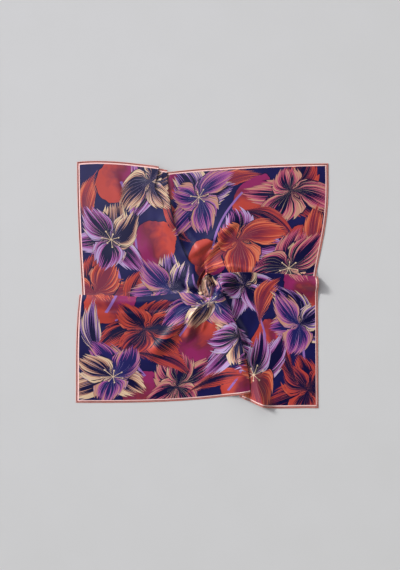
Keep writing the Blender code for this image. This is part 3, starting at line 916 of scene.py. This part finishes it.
# A bloom has two rings of petals, each with its turn, in petals, and its reach by the bloom's
# radius. A petal is shorter by chance, bends, with a range and a least angle at its tip, and has a
# fullness, with a range and a least. Odd steps give each bloom, ring and stroke its own chances.
PETALS = 3
PETAL_RINGS = ((0.5, 1.0), (0.0, 0.94))
PETAL_SHORTER = -0.25
PETAL_BEND = (1.3, -0.65)
PETAL_FULLNESS = (0.12, 0.26)
BLOOM_STEP = 17.3
RING_STEP = 7.7
STROKE_STEP = 7.31

# A bloom's stamens: how many, the range and the least of their lengths, their half width and the
# radius of their round ends, by the bloom's radius.
STAMENS = 7
STAMEN_LENGTHS = (0.10, 0.12)
STAMEN_WIDTH = 0.006
STAMEN_END = 0.018

# A leaf bows to one side at its ends and to the other at its middle: how far in all and how far at
# its middle, by its half width.
LEAF_BOW = 0.7
LEAF_MIDDLE = 0.3

# Noise's detail, roughness and lacunarity, for what is mottled finely or softly, and how often the
# print's ground repeats its mottle in a millimetre.
FINE_NOISE = (3.0, 0.6, 2.0)
SOFT_NOISE = (2.0, 0.5, 2.0)
GROUND_MOTTLE = 0.02

# The outputs of a coordinate node: a place on the piece itself, and the way out into the world.
OWN_PLACE = 3
WORLD_WAY = 0


def linear(hex_colour):
    """An sRGB hex colour as linear red, green, blue and alpha."""
    shares = np.array([int(hex_colour[i : i + 2], 16) for i in (0, 2, 4)]) / 255
    low = shares / 12.92
    high = ((shares + 0.055) / 1.055) ** 2.4
    return (*np.where(shares <= 0.04045, low, high), 1.0)


def add(tree, kind, *inputs, out=0, **settings):
    """Adds a node with its settings. An input is a value, an output to link or None for neither."""
    node = tree.nodes.new("ShaderNode" + kind)
    for name, value in settings.items():
        setattr(node, name, value)
    for socket, value in zip([s for s in node.inputs if s.enabled], inputs):
        if isinstance(value, bpy.types.NodeSocket):
            tree.links.new(value, socket)
        elif value is not None:
            socket.default_value = value
    return [s for s in node.outputs if s.enabled][out]


def half_width(tree, along, outline):
    """A petal's half width this far along it, read off a smooth curve through the outline."""
    width = add(tree, "FloatCurve", None, along)
    line = width.node.mapping.curves[0]
    for place, point in zip(outline, line.points):
        point.location = place
    for place in outline[2:]:
        line.points.new(*place)
    width.node.mapping.update()
    return width


def row_colours(tree, row):
    """A petal's middle, blade, rim and line colours, which change in steps from row to row."""
    share = add(tree, "Math", row, 0.5, operation="ADD")
    share = add(tree, "Math", share, 1 / len(COLOURINGS), operation="MULTIPLY")
    for column in zip(*COLOURINGS):
        colour = add(tree, "ValToRGB", share)
        ramp = colour.node.color_ramp
        ramp.interpolation = "CONSTANT"
        for _ in column[2:]:
            ramp.elements.new(1.0)
        for index, hex_colour in enumerate(column):
            ramp.elements[index].position = index / len(column)
            ramp.elements[index].color = linear(hex_colour)
        yield colour


def nearest(tree, cut, shapes):
    """How far off the nearest of these shapes is, the place in it, and its number and row.

    A shape's place is turned and scaled to its own middle and radii, so its edge is at 1.
    """
    best = None
    for number, shape in enumerate(shapes):
        middle = (shape.x, shape.y, 0.0)
        turn = (0.0, 0.0, np.radians(shape.turn))
        radii = (shape.radius_1, shape.radius_2, 1.0)
        place = add(tree, "Mapping", cut, middle, turn, radii, vector_type="TEXTURE")
        radius = add(tree, "VectorMath", place, operation="LENGTH")
        facts = (float(number), float(getattr(shape, "colouring", 0)), 0.0)
        if best is None:
            best = (radius, place, facts)
            continue
        closer = add(tree, "Math", radius, best[0], operation="LESS_THAN")
        least = add(tree, "Math", radius, best[0], operation="MINIMUM")
        nearer = add(tree, "Mix", closer, best[1], place, data_type="VECTOR")
        facts = add(tree, "Mix", closer, best[2], facts, data_type="VECTOR")
        best = (least, nearer, facts)
    return best


def strokes(tree, across, along, token, count):
    """Brush strokes along a petal: each one's chance, and how far a point is from its middle.

    The petal's half width is cut into so many strokes, which sway a little along the way.
    """
    sway = add(tree, "Math", along, STROKE_SWAYS, token, operation="MULTIPLY_ADD")
    sway = add(tree, "Math", sway, operation="SINE")
    sway = add(tree, "Math", sway, STROKE_SWAY, token, operation="MULTIPLY_ADD")
    place = add(tree, "Math", across, float(count), sway, operation="MULTIPLY_ADD")
    stroke = add(tree, "Math", place, operation="FLOOR")
    off_middle = add(tree, "Math", place, operation="FRACT")
    off_middle = add(tree, "Math", off_middle, 0.5, operation="SUBTRACT")
    off_middle = add(tree, "Math", off_middle, operation="ABSOLUTE")
    seed = add(tree, "Math", token, STROKE_STEP, stroke, operation="MULTIPLY_ADD")
    chance = add(tree, "TexWhiteNoise", seed, noise_dimensions="1D", out=0)
    return chance, off_middle


def flames(tree, across, along, token, petal_chance, kind):
    """1 past a border of pointed flames, which lie along a petal's strokes, and 0 before it."""
    chance, off_middle = strokes(tree, across, along, token, kind.count)
    out = add(tree, "Math", across, operation="ABSOLUTE")
    chances = (kind.petal_chance, kind.start)
    past = add(tree, "Math", petal_chance, *chances, operation="MULTIPLY_ADD")
    past = add(tree, "Math", along, kind.along, past, operation="MULTIPLY_ADD")
    past = add(tree, "Math", out, kind.out, past, operation="MULTIPLY_ADD")
    past = add(tree, "Math", chance, kind.stroke_chance, past, operation="MULTIPLY_ADD")
    past = add(tree, "Math", off_middle, FLAME_POINT, past, operation="MULTIPLY_ADD")
    return add(tree, "MapRange", past, 0.0, FLAME_SOFTNESS, interpolation_type="SMOOTHSTEP")


def node_group(name, inputs, build):
    """A group of nodes with these named inputs: build makes its colour from their sockets."""
    group = bpy.data.node_groups.new(name, "ShaderNodeTree")
    for socket_name, kind in inputs.items():
        group.interface.new_socket(socket_name, in_out="INPUT", socket_type="NodeSocket" + kind)
    group.interface.new_socket("Colour", in_out="OUTPUT", socket_type="NodeSocketColor")
    sockets = group.nodes.new("NodeGroupInput").outputs
    colour = build(group, *[sockets[socket_name] for socket_name in inputs])
    group.links.new(colour, group.nodes.new("NodeGroupOutput").inputs["Colour"])
    return group


def petal_colour(tree, across, along, token, row, chance):
    """A petal's painted colour, and its drawn lines' colour.

    Its colours meet in flames: the middle colour runs from the base, the blade's takes over where
    the flames end, and then the rim's. Each fine stroke has its own shade.
    """
    odd = add(tree, "Math", chance, NEXT_ROW, operation="GREATER_THAN")
    petal_row = add(tree, "Math", row, odd, operation="ADD")
    middle, blade, rim, line = row_colours(tree, petal_row)
    blade_share = flames(tree, across, along, token, chance, BLADE_FLAMES)
    rim_share = flames(tree, across, along, token, chance, RIM_FLAMES)
    colour = add(tree, "Mix", blade_share, middle, blade, data_type="RGBA")
    colour = add(tree, "Mix", rim_share, colour, rim, data_type="RGBA")
    shade, off_middle = strokes(tree, across, along, token, FINE_STROKES)
    shade = add(tree, "Math", shade, *FINE_SHADES, operation="MULTIPLY_ADD")
    shade = add(tree, "Math", off_middle, FINE_SIDES, shade, operation="MULTIPLY_ADD")
    return add(tree, "VectorMath", colour, None, None, shade, operation="SCALE"), line


def drawn_outline(tree, across, along, token, ragged_edge):
    """1 on the stretches of a petal's outline that are drawn, and 0 off them."""
    outline = add(tree, "MapRange", ragged_edge, *OUTLINE_PLACE, interpolation_type="SMOOTHSTEP")
    stretch = add(tree, "Math", along, OUTLINE_STRETCHES, token, operation="MULTIPLY_ADD")
    stretch = add(tree, "Math", stretch, operation="SINE")
    stretch = add(tree, "Math", across, OUTLINE_LEAN, stretch, operation="MULTIPLY_ADD")
    drawn = add(tree, "Math", stretch, OUTLINE_LEAST, operation="GREATER_THAN")
    return add(tree, "Math", outline, drawn, operation="MULTIPLY")


def painted_petal(tree, below, along, sideways, token, row, chance):
    """The print below with one petal or leaf painted over it, in feathered brush strokes.

    Each stroke ends in a point of its own, so the outline is ragged, and a dark rim lies round it.
    Thin pale lines run from the base between strokes, and round some of the edge.
    """
    across = add(tree, "Math", sideways, half_width(tree, along, STROKE_WIDTH), operation="DIVIDE")
    colour, line = petal_colour(tree, across, along, token, row, chance)
    line_chance, off_middle = strokes(tree, across, along, token, LINES)
    thin = add(tree, "MapRange", off_middle, *LINE_PLACE, interpolation_type="SMOOTHSTEP")
    reach = add(tree, "Math", line_chance, *LINE_REACH, operation="MULTIPLY_ADD")
    drawn = add(tree, "Math", along, reach, operation="LESS_THAN")
    drawn = add(tree, "Math", drawn, thin, operation="MULTIPLY")
    shift = add(tree, "Math", line_chance, RAGGED, along, operation="MULTIPLY_ADD")
    shift = add(tree, "Math", off_middle, RAGGED_POINT, shift, operation="MULTIPLY_ADD")
    ragged_along = add(tree, "Math", shift, RAGGED_PAST, operation="SUBTRACT")
    ragged_width = half_width(tree, ragged_along, PETAL_WIDTH)
    ragged_edge = add(tree, "Math", sideways, ragged_width, operation="DIVIDE")
    ragged_edge = add(tree, "Math", ragged_edge, operation="ABSOLUTE")
    outline = drawn_outline(tree, across, along, token, ragged_edge)
    drawn = add(tree, "Math", drawn, outline, operation="MAXIMUM")
    drawn = add(tree, "Math", drawn, LINE_STRENGTH, operation="MULTIPLY")
    colour = add(tree, "Mix", drawn, colour, line, data_type="RGBA")
    off_half_way = add(tree, "Math", ragged_along, 0.5, operation="SUBTRACT")
    off_half_way = add(tree, "Math", off_half_way, operation="ABSOLUTE")
    short = add(tree, "Math", off_half_way, 0.5, operation="LESS_THAN")
    for cover_colour, most_edge in ((linear(DEEP_NAVY), DARK_RIM), (colour, 1.0)):
        inside = add(tree, "Math", ragged_edge, most_edge, operation="LESS_THAN")
        cover = add(tree, "Math", inside, short, operation="MULTIPLY")
        below = add(tree, "Mix", cover, below, cover_colour, data_type="RGBA")
    return below


def round_middle(tree, place, count, turn):
    """Which of a count of even shares round a middle a place is in, and how far off its own middle.

    The angle round the middle is turned first. All three are counted in shares.
    """
    x, y, _ = add(tree, "SeparateXYZ", place, out=slice(None))
    angle = add(tree, "Math", y, x, operation="ARCTAN2")
    turns = add(tree, "Math", angle, count / (2 * np.pi), turn, operation="MULTIPLY_ADD")
    share = add(tree, "Math", turns, operation="ROUND")
    away = add(tree, "Math", turns, share, operation="SUBTRACT")
    which = add(tree, "Math", share, float(count), operation="FLOORED_MODULO")
    return which, away


def petal_ring(tree, below, radius, place, facts, turn, reach, petal_painter):
    """The print below with one ring of petals, which have even shares round a bloom's middle.

    In its share a petal has its own length, width and bend.
    """
    number, row, _ = add(tree, "SeparateXYZ", facts, out=slice(None))
    which, away = round_middle(tree, place, PETALS, turn)
    token = add(tree, "Math", number, BLOOM_STEP, which, operation="MULTIPLY_ADD")
    token = add(tree, "Math", turn, RING_STEP, token, operation="MULTIPLY_ADD")
    chances = add(tree, "TexWhiteNoise", token, noise_dimensions="1D", out=1)
    chance_1, chance_2, chance_3 = add(tree, "SeparateColor", chances, out=slice(None))
    length = add(tree, "Math", chance_1, PETAL_SHORTER, reach, operation="MULTIPLY_ADD")
    along = add(tree, "Math", radius, length, operation="DIVIDE")
    bend = add(tree, "Math", chance_2, *PETAL_BEND, operation="MULTIPLY_ADD")
    sway = add(tree, "Math", bend, along, operation="MULTIPLY")
    direction = add(tree, "Math", away, 2 * np.pi / PETALS, sway, operation="MULTIPLY_ADD")
    sine = add(tree, "Math", direction, operation="SINE")
    sideways = add(tree, "Math", radius, sine, operation="MULTIPLY")
    fullness = add(tree, "Math", chance_3, *PETAL_FULLNESS, operation="MULTIPLY_ADD")
    sideways = add(tree, "Math", sideways, fullness, operation="DIVIDE")
    petal = (below, along, sideways, token, row, chance_2)
    return add(tree, "Group", *petal, node_tree=petal_painter)


def stamens(tree, below, radius, place):
    """The print below with a bloom's stamens: thin cream lines from its middle, with round ends."""
    which, away = round_middle(tree, place, STAMENS, 0.0)
    chance = add(tree, "TexWhiteNoise", which, noise_dimensions="1D", out=0)
    length = add(tree, "Math", chance, *STAMEN_LENGTHS, operation="MULTIPLY_ADD")
    aside = add(tree, "Math", away, radius, operation="MULTIPLY")
    aside = add(tree, "Math", aside, operation="ABSOLUTE")
    thin = add(tree, "Math", aside, STAMEN_WIDTH, operation="LESS_THAN")
    short = add(tree, "Math", radius, length, operation="LESS_THAN")
    line = add(tree, "Math", thin, short, operation="MULTIPLY")
    ahead = add(tree, "Math", radius, length, operation="SUBTRACT")
    end_place = add(tree, "CombineXYZ", aside, ahead, 0.0)
    from_end = add(tree, "VectorMath", end_place, operation="LENGTH")
    dot = add(tree, "Math", from_end, STAMEN_END, operation="LESS_THAN")
    cover = add(tree, "Math", line, dot, operation="MAXIMUM")
    return add(tree, "Mix", cover, below, linear(CREAM), data_type="RGBA")


def bloom_layer(tree, cut, below, blooms, ring_painter):
    """The print below with a layer of blooms: a far ring of petals, a near one, and stamens."""
    radius, place, facts = nearest(tree, cut, blooms)
    for turn, reach in PETAL_RINGS:
        ring = (below, radius, place, facts, turn, reach)
        below = add(tree, "Group", *ring, node_tree=ring_painter)
    return stamens(tree, below, radius, place) if blooms is FRONT_BLOOMS else below


def leaf_layer(tree, cut, below, petal_painter):
    """The print below with single leaves over it, each bent sideways in an arc."""
    _, place, facts = nearest(tree, cut, LEAVES)
    x, y, _ = add(tree, "SeparateXYZ", place, out=slice(None))
    number, row, _ = add(tree, "SeparateXYZ", facts, out=slice(None))
    along = add(tree, "Math", x, 0.5, 0.5, operation="MULTIPLY_ADD")
    square = add(tree, "Math", x, x, operation="MULTIPLY")
    sideways = add(tree, "Math", square, LEAF_BOW, y, operation="MULTIPLY_ADD")
    sideways = add(tree, "Math", sideways, LEAF_MIDDLE, operation="SUBTRACT")
    chance = add(tree, "TexWhiteNoise", number, noise_dimensions="1D", out=0)
    leaf = (below, along, sideways, number, row, chance)
    return add(tree, "Group", *leaf, node_tree=petal_painter)


def bud_layer(tree, cut, below):
    """The print below with round buds over it, shaded from coral through rose to magenta."""
    radius, place, _ = nearest(tree, cut, BUDS)
    mottle = add(tree, "TexNoise", cut, BUD_MOTTLE, *FINE_NOISE, 0.3)
    stretched = add(tree, "VectorMath", place, BUD_STROKES, operation="MULTIPLY")
    painted = add(tree, "TexNoise", stretched, 1.0, *FINE_NOISE, 0.5)
    size = add(tree, "Math", mottle, BUD_RAGGED, radius, operation="MULTIPLY_ADD")
    x, y, _ = add(tree, "SeparateXYZ", place, out=slice(None))
    shade = add(tree, "Math", x, *BUD_ACROSS, operation="MULTIPLY_ADD")
    shade = add(tree, "Math", mottle, BUD_MOTTLED, shade, operation="MULTIPLY_ADD")
    colour = add(tree, "ValToRGB", shade)
    ramp = colour.node.color_ramp
    ramp.elements.new(0.5)
    for element, position, hex_colour in zip(ramp.elements, BUD_PLACES, BUD_COLOURS):
        element.position = position
        element.color = linear(hex_colour)
    depth = add(tree, "MapRange", painted, *BUD_SHADES)
    colour = add(tree, "VectorMath", colour, None, None, depth, operation="SCALE")
    for cover_colour, reach in ((linear(DEEP_NAVY), BUD_RIM), (colour, BUD_RADIUS)):
        cover = add(tree, "Math", size, reach, operation="LESS_THAN")
        below = add(tree, "Mix", cover, below, cover_colour, data_type="RGBA")
    return below


def stem_layer(tree, cut, below):
    """The print below with stems over it, each a band along a bowed line."""
    for stem in STEMS:
        scale = (STEM_WIDTH / 2, stem.half_length, 1.0)
        turn = (0.0, 0.0, np.radians(stem.turn))
        place = add(tree, "Mapping", cut, (stem.x, stem.y, 0.0), turn, scale, vector_type="TEXTURE")
        x, y, _ = add(tree, "SeparateXYZ", place, out=slice(None))
        square = add(tree, "Math", y, y, operation="MULTIPLY")
        aside = add(tree, "Math", square, stem.bow * 2 / STEM_WIDTH, x, operation="MULTIPLY_ADD")
        aside = add(tree, "Math", aside, operation="ABSOLUTE")
        beyond = add(tree, "Math", aside, square, operation="MAXIMUM")
        cover = add(tree, "Math", beyond, 1.0, operation="LESS_THAN")
        below = add(tree, "Mix", cover, below, linear(LILAC), data_type="RGBA")
    return below


def flower_print(tree, cut):
    """The print at a place on the cut square: buds, stems, flowers, leaves, stripe, painted hem shadow."""
    petal_inputs = dict(Below="Color", Along="Float", Sideways="Float", Token="Float", Row="Float")
    petal_painter = node_group("painted_petal", petal_inputs | dict(Chance="Float"), painted_petal)

    def paint_ring(ring_tree, *sockets):
        return petal_ring(ring_tree, *sockets, petal_painter)

    ring_inputs = dict(Below="Color", Radius="Float", Place="Vector", Facts="Vector")
    ring_inputs = ring_inputs | dict(Turn="Float", Reach="Float")
    ring_painter = node_group("petal_ring", ring_inputs, paint_ring)
    ground = add(tree, "TexNoise", cut, GROUND_MOTTLE, *SOFT_NOISE, 0.0)
    colour = add(tree, "Mix", ground, linear(NAVY), linear(DEEP_NAVY), data_type="RGBA")
    colour = bud_layer(tree, cut, colour)
    colour = stem_layer(tree, cut, colour)
    colour = bloom_layer(tree, cut, colour, BACK_BLOOMS, ring_painter)
    colour = leaf_layer(tree, cut, colour, petal_painter)
    for blooms in (MIDDLE_BLOOMS, FRONT_BLOOMS):
        colour = bloom_layer(tree, cut, colour, blooms, ring_painter)
    x, y, _ = add(tree, "SeparateXYZ", cut, out=slice(None))
    x_away = add(tree, "Math", x, operation="ABSOLUTE")
    y_away = add(tree, "Math", y, operation="ABSOLUTE")
    away = add(tree, "Math", x_away, y_away, operation="MAXIMUM")
    edge = SIDE / 2 * 1000
    # The last band is a painted shadow line beside the rolled hem, in the hem's darker colour.
    for start, hex_colour in ((STRIPE_START, PINK_STRIPE), (STRIPE_END, HEM_DARK_DYE_AND_SHADOW)):
        band = add(tree, "Math", away, edge - start, operation="GREATER_THAN")
        colour = add(tree, "Mix", band, colour, linear(hex_colour), data_type="RGBA")
    return colour


def new_material(name, roughness, specular):
    """A new material with this finish, its node tree and its shader."""
    material = bpy.data.materials.new(name)
    material.use_nodes = True
    shader = material.node_tree.nodes["Principled BSDF"]
    shader.inputs["Roughness"].default_value = roughness
    shader.inputs["Specular IOR Level"].default_value = specular
    return material, material.node_tree, shader


def printed_silk(name, print_group, back):
    """Silk twill, screen printed: a satin sheen over clear colours. The dye comes through paler."""
    material, tree, shader = new_material(name, SILK_ROUGHNESS, SILK_SPECULAR)
    flat = add(tree, "UVMap", uv_map="cut")
    side = SIDE * 1000
    scale, shift = (side, side, 0), (-side / 2, -side / 2, 0)
    cut = add(tree, "VectorMath", flat, scale, shift, operation="MULTIPLY_ADD")
    colour = add(tree, "Group", cut, node_tree=print_group)
    if back:
        colour = add(tree, "Mix", BACK_PALER, colour, linear(BACK_GROUND), data_type="RGBA")
    tree.links.new(colour, shader.inputs["Base Color"])
    wave = dict(bands_direction="DIAGONAL", out=1)
    ribs = add(tree, "TexWave", cut, TWILL_SCALE, TWILL_SWAY, 1.0, **wave)
    weave = add(tree, "Bump", TWILL_STRENGTH, TWILL_DEPTH, None, ribs)
    tree.links.new(weave, shader.inputs["Normal"])
    return material


def hem_silk(name, hex_colour, dark_hex_colour, scale):
    """Silk of the printed border, rolled by hand or spun to thread: soft, with uneven dye."""
    material, tree, shader = new_material(name, HEM_ROUGHNESS, HEM_SPECULAR)
    place = add(tree, "TexCoord", out=OWN_PLACE)
    mottle = add(tree, "TexNoise", place, scale, *FINE_NOISE, 0.0)
    share = add(tree, "MapRange", mottle, *HEM_DYE)
    dye = (linear(hex_colour), linear(dark_hex_colour))
    colour = add(tree, "Mix", share, *dye, data_type="RGBA")
    tree.links.new(colour, shader.inputs["Base Color"])
    grain = add(tree, "Bump", GRAIN_STRENGTH, GRAIN_DEPTH, None, mottle)
    tree.links.new(grain, shader.inputs["Normal"])
    return material


def add_floor():
    """A plain pale floor, matt like seamless paper, with the faintest mottle."""
    material, tree, shader = new_material("seamless_paper", PAPER_ROUGHNESS, PAPER_SPECULAR)
    place = add(tree, "TexCoord", out=OWN_PLACE)
    mottle = add(tree, "TexNoise", place, PAPER_MOTTLE, *SOFT_NOISE, 0.0)
    paper = (linear(PAPER), linear(PAPER_SHADE))
    colour = add(tree, "Mix", mottle, *paper, data_type="RGBA")
    tree.links.new(colour, shader.inputs["Base Color"])
    corners = FLOOR_REACH * np.array([(-1, -1, 0), (1, -1, 0), (1, 1, 0), (-1, 1, 0)])
    mesh = bpy.data.meshes.new("floor")
    mesh.from_pydata(corners.tolist(), [], [(0, 1, 2, 3)])
    mesh.materials.append(material)
    floor = bpy.data.objects.new("floor", mesh)
    bpy.context.scene.collection.objects.link(floor)
    floor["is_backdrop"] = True


def add_light(name, kind, place, **settings):
    """A studio light that faces the scarf's middle."""
    data = bpy.data.lights.new(name, kind)
    for setting, value in settings.items():
        setattr(data, setting, value)
    light = bpy.data.objects.new(name, data)
    light.location = place
    light.rotation_euler = (-Vector(place)).to_track_quat("-Z", "Y").to_euler()
    bpy.context.scene.collection.objects.link(light)


def add_lights():
    """A far key light, a softbox that gives the silk its sheen, and light from all round.

    The light from all round is stronger on the key's side. It fades out overhead, where the silk
    would mirror it to a camera above, and is weak at the horizon, which flat silk mirrors sideways.
    """
    ground_way = np.cos(KEY_ELEVATION) * KEY_WAY
    key_place = KEY_DISTANCE * np.array([*ground_way, np.sin(KEY_ELEVATION)])
    add_light("key", "SUN", key_place, energy=KEY_STRENGTH, angle=KEY_ANGLE)
    box = dict(shape="DISK", size=SHEEN_BOX_SIZE, energy=SHEEN_BOX_POWER)
    add_light("sheen_box", "AREA", SHEEN_BOX_PLACE, color=linear(SHEEN_BOX_COLOUR)[:3], **box)
    world = bpy.data.worlds.new("studio")
    world.use_nodes = True
    tree = world.node_tree
    direction = add(tree, "TexCoord", out=WORLD_WAY)
    _, _, height = add(tree, "SeparateXYZ", direction, out=slice(None))
    level = add(tree, "MapRange", height, 0.0, DARK_HEIGHT, HORIZON_LIGHT, 0.0)
    toward = add(tree, "VectorMath", direction, (*KEY_WAY, 0), operation="DOT_PRODUCT")
    side = add(tree, "MapRange", toward, -1.0, 1.0, FAR_SIDE, NEAR_SIDE)
    low = add(tree, "MapRange", height, 0.0, LOW_HEIGHT, LOW_SHARE, 1.0)
    strength = add(tree, "Math", level, side, operation="MULTIPLY")
    strength = add(tree, "Math", strength, low, operation="MULTIPLY")
    tree.links.new(strength, tree.nodes["Background"].inputs["Strength"])
    tree.nodes["Background"].inputs["Color"].default_value = (1, 1, 1, 1)
    bpy.context.scene.world = world
    bpy.context.scene.view_settings.view_transform = "Standard"


def add_camera():
    """A camera straight above the scarf."""
    data = bpy.data.cameras.new("camera")
    data.lens = data.sensor_width * CAMERA_HEIGHT / VIEW_HEIGHT
    camera = bpy.data.objects.new("camera", data)
    camera.location = (*VIEW_CENTRE, CAMERA_HEIGHT)
    bpy.context.scene.collection.objects.link(camera)
    bpy.context.scene.camera = camera


def add_scarf():
    """The silk panel, its four rolled hems and their stitches.

    The top and bottom hems run on past the corners, so that they cover the other two's ends.
    """
    rings = FIRST_RING + (1 - FIRST_RING) * np.linspace(0, 1, RINGS) ** RING_CROWDING
    surface, places = cloth_surface(rings)
    print_group = node_group("flower_print", dict(Place="Vector"), flower_print)
    front = printed_silk("printed_silk_twill", print_group, False)
    back = printed_silk("printed_silk_twill_back", print_group, True)
    silk = add_silk(surface, places, front, back)
    roll = hem_silk("hand_rolled_silk_hem", HEM, HEM_DARK_DYE_AND_SHADOW, HEM_MOTTLE)
    thread = hem_silk("silk_thread", THREAD, HEM, THREAD_MOTTLE)
    edge = surface[-1]
    sides = side_spokes(corner_spokes(edge), len(edge))
    paths = []
    for name, spokes in zip(OUTWARD, sides):
        outward = np.array(OUTWARD[name])
        path = hem_path(edge[spokes], outward)
        if name in ("top", "bottom"):
            past = outward[1] * (HEM_OUTSIDE + HEM_ROLL / 2) * np.array([1, 0, 0])
            path = np.vstack([path[0] - past, path, path[-1] + past])
        add_hem("hem_" + name, path, outward, roll)
        paths.append((path, outward))
    stitches = add_stitches(paths, thread)


add_floor()
add_lights()
add_camera()
add_scarf()
boxes = {"cad": cad_box, "visual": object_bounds()}
plain_boxes = {name: [[float(x) for x in corner] for corner in box] for name, box in boxes.items()}
